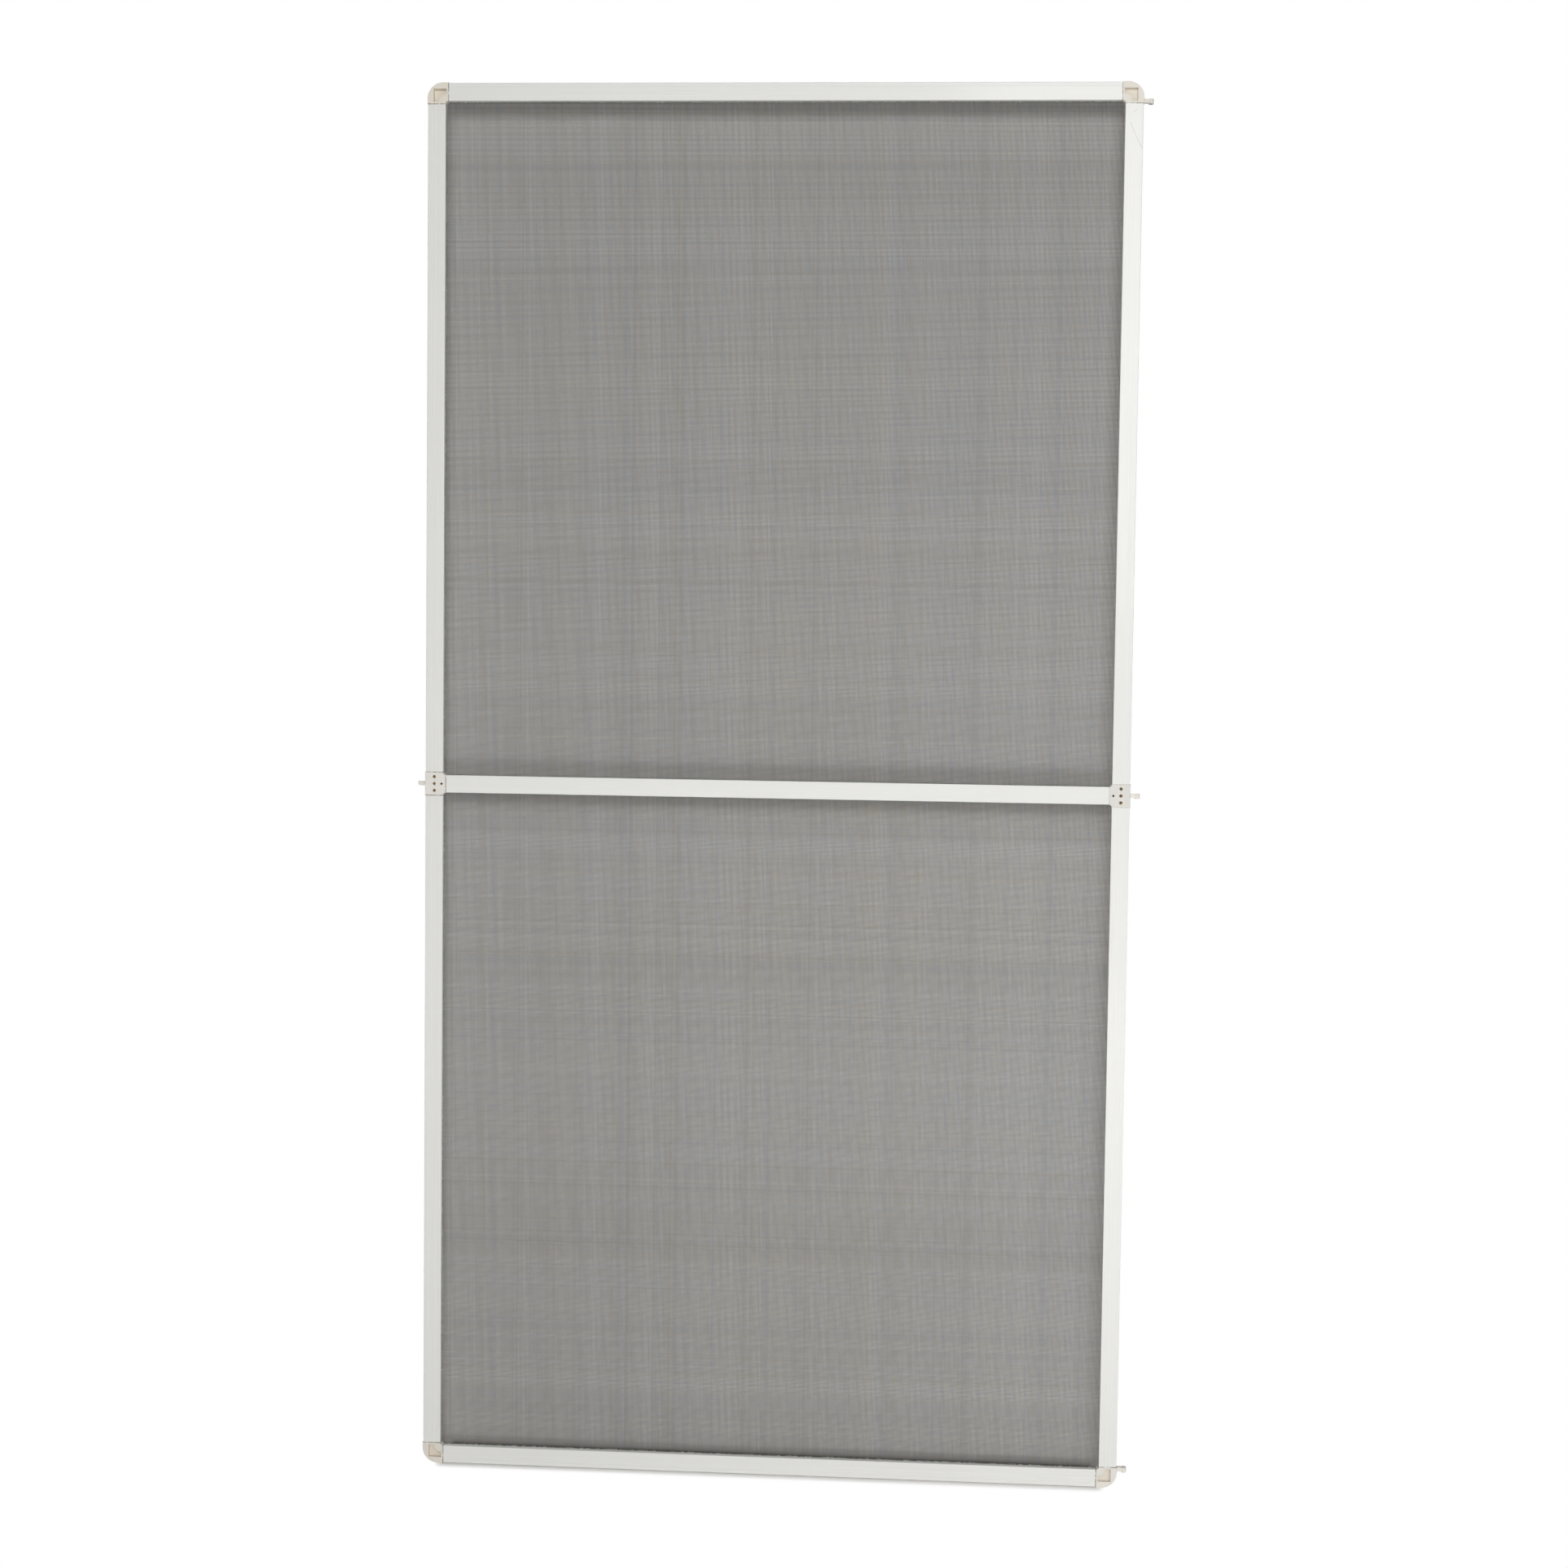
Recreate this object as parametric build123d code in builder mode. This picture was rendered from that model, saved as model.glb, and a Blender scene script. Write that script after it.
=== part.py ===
# Framed insect screen: a hinged leaf of seven equal white profiles, joined by moulded corner and
# T connectors, with one woven cloth pressed into a groove at the back.
# Millimetres. The front faces -Y, +Z is up. The origin lies under the middle of the whole width.

import os

from build123d import *

os.makedirs("parts", exist_ok=True)

# Profile lengths
rail_length = 940.0
stile_length = 940.0

# Profile section
bar_width = 25.0
bar_depth = 11.0
bar_wall = 1.2
edge_round = 1.0
groove_width = 4.0
groove_depth = 4.2
mesh_seat = 8.0
line_inset = 6.0
line_width = 0.6
line_depth = 0.25

# Connectors
corner_proud = 0.8
corner_radius = 22.5
cove_radius = 4.0
moulding_bevel = 0.4
recess_margin = 8.8
recess_rim = 2.8
recess_depth = 5.6
island_radius = 10.3
spigot_length = 45.0
spigot_clearance = 0.15
spigot_rib_height = 0.5
spigot_rib_length = 2.5
spigot_rib_count = 3
spigot_lead = 1.0

# T connector holes; the neck hole's inset is from the profiles' inner edge, so it meets the cloth groove
handle_hole_radius = 2.3
handle_hole_pitch = 9.8
handle_hole_count = 3
handle_hole_depth = 7.0
neck_hole_radius = 1.6
neck_hole_inset = 2.0

# Hinge arms and catch tongue, which plug into the connectors' outer sides
lug_depth_place = 6.2
lug_inset = 4.2
tang_length = 6.5
tang_height = 3.4
tang_thickness = 4.0
tang_clearance = 0.1
arm_height = 5.3
arm_thickness = 5.4
eye_offset = 9.7
eye_radius = 3.8
eye_bore_radius = 2.0
eye_boss_height = 1.2
tongue_reach = 11.0
tongue_height = 6.0
tongue_thickness = 5.0
tongue_chamfer = 1.2
tongue_line_count = 2
tongue_line_pitch = 2.0
tongue_line_width = 0.6
tongue_line_depth = 0.4

# Cloth and spline
film_thickness = 0.2
thread_height = 0.5
gap_columns = 10
gap_rows = 12
band_width = 30.0
band_ridges = 4
ridge_width = 4.8
turn_in_thickness = 0.4
turn_in_depth = 3.6
spline_clearance = 0.12
spline_butt_gap = 0.2
spline_ribs = 8

# Worked out from the sizes above
groove_outer = bar_width - bar_wall - groove_width
groove_inner = bar_width - bar_wall
groove_floor = mesh_seat - groove_depth
chamber_width = groove_outer - 2 * bar_wall
chamber_depth = bar_depth - 2 * bar_wall
joint_inset = bar_width + cove_radius
corner_reach = corner_proud + joint_inset
tee_height = bar_width + 2 * cove_radius
frame_width = rail_length + 2 * joint_inset
frame_height = 2 * stile_length + 2 * joint_inset + tee_height
arm_reach = eye_offset + eye_radius

y_front = -bar_depth / 2
x_left = (tongue_reach - arm_reach - frame_width) / 2
x_right = x_left + frame_width
z_bottom = corner_proud
z_top = z_bottom + frame_height
z_mid = z_bottom + joint_inset + stile_length + tee_height / 2
x_mid = (x_left + x_right) / 2

RIGHT = (1, 0, 0)
LEFT = (-1, 0, 0)
UP = (0, 0, 1)
DOWN = (0, 0, -1)
BACK = (0, 1, 0)

# Section planes: X runs from a profile's outer edge to its inner edge, Y from front to back
bar_planes = {
    "left_stile_lower": Plane((x_left, y_front, z_bottom + joint_inset), RIGHT, UP),
    "left_stile_upper": Plane((x_left, y_front, z_mid + tee_height / 2), RIGHT, UP),
    "top_rail": Plane((x_left + joint_inset, y_front, z_top), DOWN, RIGHT),
    "right_stile_upper": Plane((x_right, y_front, z_top - joint_inset), LEFT, DOWN),
    "right_stile_lower": Plane((x_right, y_front, z_mid - tee_height / 2), LEFT, DOWN),
    "bottom_rail": Plane((x_right - joint_inset, y_front, z_bottom), UP, LEFT),
}
mid_plane = Plane((x_left + joint_inset, y_front, z_mid + bar_width / 2), DOWN, RIGHT)


def bar_length(label):
    """Cut length of a profile."""
    return stile_length if "stile" in label else rail_length


def save(part, label):
    """Labels a finished piece and writes its STEP file."""
    part.label = label
    export_step(part, f"parts/{label}.step")


# Outer profiles: hollow, stepped at the back, with the cloth groove along the inner edge
def outer_bar(label):
    with BuildPart() as bar:
        with BuildSketch(bar_planes[label]) as section:
            with BuildLine():
                Polyline(
                    (0, 0),
                    (bar_width, 0),
                    (bar_width, mesh_seat),
                    (groove_inner, mesh_seat),
                    (groove_inner, groove_floor),
                    (groove_outer, groove_floor),
                    (groove_outer, bar_depth),
                    (0, bar_depth),
                    close=True,
                )
            make_face()
            fillet(section.vertices().group_by(Axis.Y)[0], edge_round)
            with BuildLine():
                Polyline(
                    (bar_wall, bar_wall),
                    (groove_inner, bar_wall),
                    (groove_inner, groove_floor - bar_wall),
                    (groove_outer - bar_wall, groove_floor - bar_wall),
                    (groove_outer - bar_wall, bar_depth - bar_wall),
                    (bar_wall, bar_depth - bar_wall),
                    close=True,
                )
            make_face(mode=Mode.SUBTRACT)
            with Locations((line_inset, line_depth / 2)):
                Rectangle(line_width, line_depth, mode=Mode.SUBTRACT)
        extrude(amount=bar_length(label))
    save(bar.part, label)


for bar_label in bar_planes:
    outer_bar(bar_label)

# Cross rail: a plain box section, as deep as the cloth's seat, so that the cloth passes behind it
with BuildPart() as mid_rail:
    with BuildSketch(mid_plane) as mid_section:
        with Locations((bar_width / 2, mesh_seat / 2)):
            Rectangle(bar_width, mesh_seat)
        fillet(mid_section.vertices().group_by(Axis.Y)[0], edge_round)
        with Locations((bar_width / 2, mesh_seat / 2)):
            Rectangle(bar_width - 2 * bar_wall, mesh_seat - 2 * bar_wall, mode=Mode.SUBTRACT)
    extrude(amount=rail_length)
save(mid_rail.part, "mid_rail")


# Ribbed spigots that fill a profile's chamber. A spigot grows from a section plane into the profile
def spigot(plane, width, depth, inward):
    fit_width = width - 2 * spigot_clearance
    fit_depth = depth - 2 * spigot_clearance
    core_width = fit_width - 2 * spigot_rib_height
    core_depth = fit_depth - 2 * spigot_rib_height
    rib_pitch = (spigot_length - spigot_lead) / spigot_rib_count
    with BuildPart() as plug:
        with BuildSketch(plane):
            with Locations((bar_wall + width / 2, bar_wall + depth / 2)):
                Rectangle(core_width, core_depth)
        extrude(amount=inward * spigot_length)
        tip = plug.faces().sort_by(Axis(plane.origin, plane.z_dir * inward))[-1]
        chamfer(tip.edges(), spigot_lead)
        for rib in range(spigot_rib_count):
            with BuildSketch(plane.offset(inward * rib * rib_pitch)):
                with Locations((bar_wall + width / 2, bar_wall + depth / 2)):
                    Rectangle(fit_width, fit_depth)
            extrude(amount=inward * spigot_rib_length)
    return plug.part


def start_spigot(label):
    """The spigot in a profile's near end."""
    return spigot(bar_planes[label], chamber_width, chamber_depth, 1)


def end_spigot(label):
    """The spigot in a profile's far end."""
    far_plane = bar_planes[label].offset(bar_length(label))
    return spigot(far_plane, chamber_width, chamber_depth, -1)


# Seats of the plug-in lugs: X points out of the frame, Y to the back, Z up or down
lug_y = y_front + lug_depth_place
seat_right = x_right + corner_proud
seat_left = x_left - corner_proud
arm_planes = {
    "hinge_arm_top": Plane((seat_right, lug_y, z_top - joint_inset + lug_inset), RIGHT, UP),
    "hinge_arm_middle": Plane((seat_right, lug_y, z_mid), RIGHT, UP),
    "hinge_arm_bottom": Plane((seat_right, lug_y, z_bottom + joint_inset - lug_inset), RIGHT, UP),
}
tongue_plane = Plane((seat_left, lug_y, z_mid), LEFT, DOWN)


def lug_slot(plane):
    """The pocket for a lug's tang, with clearance all round and at its end."""
    with BuildPart() as pocket:
        with BuildSketch(plane):
            with Locations((-(tang_length + tang_clearance) / 2, 0)):
                Rectangle(tang_length + tang_clearance, tang_thickness + 2 * tang_clearance)
        extrude(amount=tang_height / 2 + tang_clearance, both=True)
    return pocket.part


# Corner connectors: a rounded block with a front recess, an island over the groove's corner
# at the back, and two spigots
corner_planes = {
    "corner_top_left": Plane((seat_left, y_front, z_top + corner_proud), RIGHT, BACK),
    "corner_top_right": Plane((seat_right, y_front, z_top + corner_proud), DOWN, BACK),
    "corner_bottom_right": Plane((seat_right, y_front, 0), LEFT, BACK),
    "corner_bottom_left": Plane((seat_left, y_front, 0), UP, BACK),
}
recess_end = corner_reach - recess_rim
recess_size = recess_end - recess_margin
groove_start = corner_proud + groove_outer
groove_stop = corner_proud + groove_inner


def corner(label, before, after, slots):
    plugs = [end_spigot(before), start_spigot(after)]
    pockets = [lug_slot(slot) for slot in slots]
    plane = corner_planes[label]
    edge = corner_reach - cove_radius
    with BuildPart() as block:
        with BuildSketch(plane):
            with BuildLine():
                Polyline((corner_radius, 0), (corner_reach, 0), (corner_reach, edge))
                CenterArc((corner_reach, corner_reach), cove_radius, 180, 90)
                Polyline((edge, corner_reach), (0, corner_reach), (0, corner_radius))
                CenterArc((corner_radius, corner_radius), corner_radius, 180, 90)
            make_face()
        extrude(amount=bar_depth)
        front = block.faces().sort_by(Axis(plane.origin, plane.z_dir))[0]
        chamfer(front.edges(), moulding_bevel)
        with BuildSketch(plane):
            with Locations((recess_margin, recess_margin)):
                Rectangle(recess_size, recess_size, align=(Align.MIN, Align.MIN))
            with Locations((recess_end, recess_end)):
                Circle(island_radius, mode=Mode.SUBTRACT)
        extrude(amount=recess_depth, mode=Mode.SUBTRACT)
        with BuildSketch(plane.offset(mesh_seat)):
            with Locations((groove_start, groove_start)):
                Rectangle(corner_reach, corner_reach, align=(Align.MIN, Align.MIN))
        extrude(amount=bar_depth - mesh_seat, mode=Mode.SUBTRACT)
        with BuildSketch(plane.offset(groove_floor)):
            with Locations((groove_start, groove_start)):
                Rectangle(corner_reach, corner_reach, align=(Align.MIN, Align.MIN))
            with Locations((groove_stop, groove_stop)):
                Rectangle(corner_reach, corner_reach, align=(Align.MIN, Align.MIN), mode=Mode.SUBTRACT)
        extrude(amount=groove_depth, mode=Mode.SUBTRACT)
        add(plugs)
        if pockets:
            add(pockets, mode=Mode.SUBTRACT)
    save(block.part, label)


corner("corner_top_left", "left_stile_upper", "top_rail", [])
corner("corner_top_right", "top_rail", "right_stile_upper", [arm_planes["hinge_arm_top"]])
corner("corner_bottom_right", "right_stile_lower", "bottom_rail", [arm_planes["hinge_arm_bottom"]])
corner("corner_bottom_left", "bottom_rail", "left_stile_lower", [])

# T connectors: a plate between two stiles, a coved neck to the cross rail, and three spigots
tee_planes = {
    "tee_left": Plane((seat_left, y_front, z_mid), RIGHT, BACK),
    "tee_right": Plane((seat_right, y_front, z_mid), LEFT, BACK),
}
mid_chamber_width = bar_width - 2 * bar_wall
mid_chamber_depth = mesh_seat - 2 * bar_wall


def tee(label, before, after, mid_end, inward, slot):
    plugs = [
        end_spigot(before),
        start_spigot(after),
        spigot(mid_end, mid_chamber_width, mid_chamber_depth, inward),
    ]
    pocket = lug_slot(slot)
    plane = tee_planes[label]
    edge = corner_reach - cove_radius
    half = tee_height / 2
    with BuildPart() as plate:
        with BuildSketch(plane):
            with BuildLine():
                Polyline((edge, -half), (0, -half), (0, half), (edge, half))
                CenterArc((corner_reach, half), cove_radius, 180, 90)
                Line((corner_reach, bar_width / 2), (corner_reach, -bar_width / 2))
                CenterArc((corner_reach, -half), cove_radius, 90, 90)
            make_face()
        extrude(amount=bar_depth)
        front = plate.faces().sort_by(Axis(plane.origin, plane.z_dir))[0]
        chamfer(front.edges(), moulding_bevel)
        with BuildSketch(plane.offset(mesh_seat)):
            with Locations((groove_start, 0)):
                Rectangle(corner_reach, tee_height, align=(Align.MIN, Align.CENTER))
        extrude(amount=bar_depth - mesh_seat, mode=Mode.SUBTRACT)
        with BuildSketch(plane.offset(groove_floor)):
            with Locations((groove_start, 0)):
                Rectangle(groove_width, tee_height, align=(Align.MIN, Align.CENTER))
        extrude(amount=groove_depth, mode=Mode.SUBTRACT)
        with BuildSketch(plane):
            with Locations((corner_proud + bar_width / 2, 0)):
                with GridLocations(handle_hole_pitch, handle_hole_pitch, 1, handle_hole_count):
                    Circle(handle_hole_radius)
        extrude(amount=handle_hole_depth, mode=Mode.SUBTRACT)
        with BuildSketch(plane):
            with Locations((corner_proud + bar_width - neck_hole_inset, 0)):
                Circle(neck_hole_radius)
        extrude(amount=groove_floor, mode=Mode.SUBTRACT)
        add(plugs)
        add(pocket, mode=Mode.SUBTRACT)
    save(plate.part, label)


tee("tee_left", "left_stile_lower", "left_stile_upper", mid_plane, 1, tongue_plane)
tee(
    "tee_right",
    "right_stile_upper",
    "right_stile_lower",
    mid_plane.offset(rail_length),
    -1,
    arm_planes["hinge_arm_middle"],
)


# Hinge arms: a tang in the connector, a short arm and an eye for an upright hinge pin
def hinge_arm(label):
    plane = arm_planes[label]
    eye_bottom = -arm_height / 2 - eye_boss_height
    with BuildPart() as arm:
        with BuildSketch(plane):
            Rectangle(eye_offset, arm_thickness, align=(Align.MIN, Align.CENTER))
            with Locations((eye_offset, 0)):
                Circle(eye_radius)
        extrude(amount=arm_height / 2, both=True)
        with BuildSketch(plane):
            Rectangle(tang_length, tang_thickness, align=(Align.MAX, Align.CENTER))
        extrude(amount=tang_height / 2, both=True)
        with BuildSketch(plane.offset(eye_bottom)):
            with Locations((eye_offset, 0)):
                Circle(eye_radius)
        extrude(amount=eye_boss_height)
        with BuildSketch(plane.offset(eye_bottom)):
            with Locations((eye_offset, 0)):
                Circle(eye_bore_radius)
        extrude(amount=arm_height + eye_boss_height, mode=Mode.SUBTRACT)
    save(arm.part, label)


for arm_label in arm_planes:
    hinge_arm(arm_label)

# Catch tongue: a flat finger with lines along its front and one bevelled corner
with BuildPart() as catch_tongue:
    with BuildSketch(tongue_plane):
        Rectangle(tongue_reach, tongue_thickness, align=(Align.MIN, Align.CENTER))
    extrude(amount=tongue_height / 2, both=True)
    tip_edges = catch_tongue.edges().filter_by(Axis.Y).group_by(Axis.X)[0]
    chamfer(tip_edges.sort_by(Axis.Z)[0], tongue_chamfer)
    with BuildSketch(tongue_plane):
        Rectangle(tang_length, tang_thickness, align=(Align.MAX, Align.CENTER))
    extrude(amount=tang_height / 2, both=True)
    tongue_front = Plane((seat_left, lug_y - tongue_thickness / 2, z_mid), LEFT, BACK)
    with BuildSketch(tongue_front):
        with Locations((tongue_reach / 2, 0)):
            with GridLocations(tongue_reach, tongue_line_pitch, 1, tongue_line_count):
                Rectangle(tongue_reach, tongue_line_width)
    extrude(amount=tongue_line_depth, mode=Mode.SUBTRACT)
save(catch_tongue.part, "catch_tongue")

# Cloth: one wall with a grid of gaps, as open as the real weave and turned into the groove all round.
# The bands between the gaps carry warp ridges in front and weft ridges behind
cloth_inset = groove_inner - turn_in_thickness
cloth_width = frame_width - 2 * cloth_inset
cloth_height = frame_height - 2 * cloth_inset
selvedge = bar_wall + turn_in_thickness
column_step = (cloth_width - 2 * selvedge - band_width) / gap_columns
row_step = (cloth_height - 2 * selvedge - band_width) / gap_rows
ridge_pitch = band_width / band_ridges
y_seat = y_front + mesh_seat
warp_plane = Plane((x_mid, y_seat, z_mid - cloth_height / 2), RIGHT, UP)
weft_plane = Plane((x_mid - cloth_width / 2, y_seat, z_mid), UP, LEFT)
cloth_front = Plane((x_mid, y_seat, z_mid), RIGHT, BACK)

with BuildPart() as insect_mesh:
    with BuildSketch(warp_plane):
        with Locations((0, thread_height)):
            Rectangle(cloth_width, film_thickness, align=(Align.CENTER, Align.MIN))
        with GridLocations(column_step, thread_height, gap_columns + 1, 1):
            with GridLocations(ridge_pitch, thread_height, band_ridges, 1):
                Rectangle(ridge_width, thread_height, align=(Align.CENTER, Align.MIN))
        with GridLocations(cloth_width - selvedge, thread_height, 2, 1):
            Rectangle(selvedge, thread_height, align=(Align.CENTER, Align.MIN))
        with GridLocations(cloth_width - turn_in_thickness, turn_in_depth, 2, 1):
            Rectangle(turn_in_thickness, turn_in_depth, align=(Align.CENTER, Align.MAX))
    extrude(amount=cloth_height)
    with BuildSketch(weft_plane):
        with Locations((0, thread_height)):
            Rectangle(cloth_height, film_thickness, align=(Align.CENTER, Align.MIN))
        with Locations((0, thread_height + film_thickness)):
            with GridLocations(row_step, thread_height, gap_rows + 1, 1):
                with GridLocations(ridge_pitch, thread_height, band_ridges, 1):
                    Rectangle(ridge_width, thread_height, align=(Align.CENTER, Align.MIN))
        with Locations((0, thread_height)):
            with GridLocations(cloth_height - turn_in_thickness, turn_in_depth, 2, 1):
                Rectangle(turn_in_thickness, turn_in_depth + thread_height, align=(Align.CENTER, Align.MAX))
    extrude(amount=-cloth_width)
    with BuildSketch(cloth_front):
        with GridLocations(column_step, row_step, gap_columns, gap_rows):
            Rectangle(column_step - band_width, row_step - band_width)
    extrude(amount=2 * thread_height + film_thickness, mode=Mode.SUBTRACT)
save(insect_mesh.part, "insect_mesh")

# Spline: four lengths of ribbed cord that hold the cloth in the groove
spline_space = groove_width - turn_in_thickness - 2 * spline_clearance
spline_radius = spline_space / 2
spline_inset = groove_outer + spline_clearance + spline_radius
y_spline = y_front + groove_floor + spline_clearance + spline_radius
long_run = frame_width - 2 * (groove_outer + spline_clearance)
side_run = frame_height - 2 * (spline_inset + spline_radius + spline_butt_gap)
spline_runs = {
    "spline_top": (Plane((x_mid - long_run / 2, y_spline, z_top - spline_inset), UP, RIGHT), long_run),
    "spline_bottom": (Plane((x_mid - long_run / 2, y_spline, z_bottom + spline_inset), UP, RIGHT), long_run),
    "spline_left": (Plane((x_left + spline_inset, y_spline, z_mid - side_run / 2), RIGHT, UP), side_run),
    "spline_right": (Plane((x_right - spline_inset, y_spline, z_mid - side_run / 2), RIGHT, UP), side_run),
}
for spline_label, (spline_plane, spline_length) in spline_runs.items():
    with BuildPart() as cord:
        with BuildSketch(spline_plane):
            RegularPolygon(spline_radius, spline_ribs)
        extrude(amount=spline_length)
    save(cord.part, spline_label)
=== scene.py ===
"""Insect screen leaf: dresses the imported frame, weaves its cloth and lights it for the photograph's view.

Everything is in metres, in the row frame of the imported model: the front faces -Y and +Z is up.
"""

from __future__ import annotations

import logging
import math
from dataclasses import dataclass, field
from enum import Enum
from typing import Any, NamedTuple, Union

import bpy
import numpy as np
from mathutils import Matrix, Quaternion, Vector

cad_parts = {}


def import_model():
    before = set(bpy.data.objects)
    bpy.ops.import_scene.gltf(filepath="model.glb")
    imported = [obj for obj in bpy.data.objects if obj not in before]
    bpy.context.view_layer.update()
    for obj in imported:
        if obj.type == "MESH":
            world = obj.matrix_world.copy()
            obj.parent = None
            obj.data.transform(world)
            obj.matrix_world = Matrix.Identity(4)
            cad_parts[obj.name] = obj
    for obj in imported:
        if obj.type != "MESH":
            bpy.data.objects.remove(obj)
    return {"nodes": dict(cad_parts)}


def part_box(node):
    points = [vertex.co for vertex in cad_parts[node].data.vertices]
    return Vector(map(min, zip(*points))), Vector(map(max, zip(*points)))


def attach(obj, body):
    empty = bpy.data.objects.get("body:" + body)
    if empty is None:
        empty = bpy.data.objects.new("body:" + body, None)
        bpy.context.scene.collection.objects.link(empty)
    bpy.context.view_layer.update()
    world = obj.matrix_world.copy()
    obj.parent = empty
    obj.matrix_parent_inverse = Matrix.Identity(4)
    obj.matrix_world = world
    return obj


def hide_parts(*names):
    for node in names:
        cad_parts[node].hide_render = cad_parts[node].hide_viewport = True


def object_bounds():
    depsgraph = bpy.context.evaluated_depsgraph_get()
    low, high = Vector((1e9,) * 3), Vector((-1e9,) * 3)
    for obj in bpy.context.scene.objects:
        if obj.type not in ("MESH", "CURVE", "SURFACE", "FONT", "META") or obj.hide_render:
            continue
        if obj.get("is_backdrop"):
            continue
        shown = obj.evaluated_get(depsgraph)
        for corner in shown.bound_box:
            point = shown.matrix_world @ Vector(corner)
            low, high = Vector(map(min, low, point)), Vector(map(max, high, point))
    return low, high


LOG = logging.getLogger("insect_screen")
BODY = "root"
THREAD_TONE = "thread_tone"
MM = 0.001
MIDDLE = 0.5
WHITE = (1.0, 1.0, 1.0, 1.0)

Colour = tuple[float, float, float]
Seam = tuple[int, float]
Operand = Union["Wire", float, int]


class Run(Enum):
    """The axis (0 to 2) along which a profile was drawn through its die."""

    RAIL = 0
    STILE = 2

    @property
    def across(self) -> int:
        """The other axis of the leaf's plane."""
        return 2 - self.value


BARS = {
    "top_rail": Run.RAIL,
    "mid_rail": Run.RAIL,
    "bottom_rail": Run.RAIL,
    "left_stile_upper": Run.STILE,
    "left_stile_lower": Run.STILE,
    "right_stile_upper": Run.STILE,
    "right_stile_lower": Run.STILE,
}


class Glow(Enum):
    """What a lamp does: it lights matt surfaces, is mirrored in glossy ones, or both."""

    SOFT = (True, False)
    MIRRORED = (False, True)
    FULL = (True, True)


class Lamp(NamedTuple):
    """A soft lamp: its place, what it points at, its width and height, its watts and what it lights."""

    name: str
    place: Colour
    aim: Colour
    size: tuple[float, float]
    power: float
    glow: Glow


class Rub(NamedTuple):
    """A rub mark: the part of a circle on the front that lies between two heights."""

    x: float
    z: float
    radius: float
    low: float
    high: float


class Hole(NamedTuple):
    """A round hole in the front face."""

    x: float
    z: float
    radius: float


class Hollow(NamedTuple):
    """A recess in the front face, by its lowest and highest corners."""

    low_x: float
    low_z: float
    high_x: float
    high_z: float


class WearAndLight(NamedTuple):
    """How a moulding has aged, and its painted light: how yellow it is, how much lighter or darker its ivory
    is painted for the light that falls on it, and how dirty its joints are.
    """

    yellowing: float
    bright: float = 1.0
    grimy: float = 0.85


class Drift(NamedTuple):
    """A change from thread to thread: how strong it is, and how many neighbours share it."""

    amount: float
    reach: int


# Shader maths.


class Wire:
    """A node output that takes part in Python arithmetic; each operator adds a Math node."""

    def __init__(self, tree: FinishTree, socket: bpy.types.NodeSocket) -> None:
        """Keeps the tree that the output belongs to, and the output."""
        self.tree = tree
        self.socket = socket

    def math(self, operation: str, *operands: Operand) -> Wire:
        """Adds a Math node with values or wires as its inputs, and gives its output."""
        return self.tree.add("ShaderNodeMath", {"operation": operation}, dict(enumerate(operands)))

    def __add__(self, other: Operand) -> Wire:
        """self + other"""
        return self.math("ADD", self, other)

    def __radd__(self, other: Operand) -> Wire:
        """other + self"""
        return self.math("ADD", other, self)

    def __sub__(self, other: Operand) -> Wire:
        """self - other"""
        return self.math("SUBTRACT", self, other)

    def __rsub__(self, other: Operand) -> Wire:
        """other - self"""
        return self.math("SUBTRACT", other, self)

    def __mul__(self, other: Operand) -> Wire:
        """self * other"""
        return self.math("MULTIPLY", self, other)

    def __rmul__(self, other: Operand) -> Wire:
        """other * self"""
        return self.math("MULTIPLY", other, self)

    def __abs__(self) -> Wire:
        """Distance from zero."""
        return self.math("ABSOLUTE", self)

    def root(self) -> Wire:
        """The square root."""
        return self.math("SQRT", self)

    def at_least(self, floor: Operand) -> Wire:
        """The larger of self and floor."""
        return self.math("MAXIMUM", self, floor)

    def at_most(self, ceiling: Operand) -> Wire:
        """The smaller of self and ceiling."""
        return self.math("MINIMUM", self, ceiling)

    def clamped(self) -> Wire:
        """Self, held between 0 and 1."""
        return self.at_least(0.0).at_most(1.0)

    def rise(self, start: float, end: float) -> Wire:
        """A smooth step from 0 at start to 1 at end, or the reverse where end is the smaller."""
        sockets = {"Value": self, "From Min": start, "From Max": end}
        return self.tree.add("ShaderNodeMapRange", {"interpolation_type": "SMOOTHSTEP"}, sockets)


def most(wires: list[Wire]) -> Wire:
    """The largest of several wires.

    Args:
        wires: one or more wires.

    Returns:
        Their maximum.
    """
    largest, *others = wires
    for other in others:
        largest = largest.at_least(other)
    return largest


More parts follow.
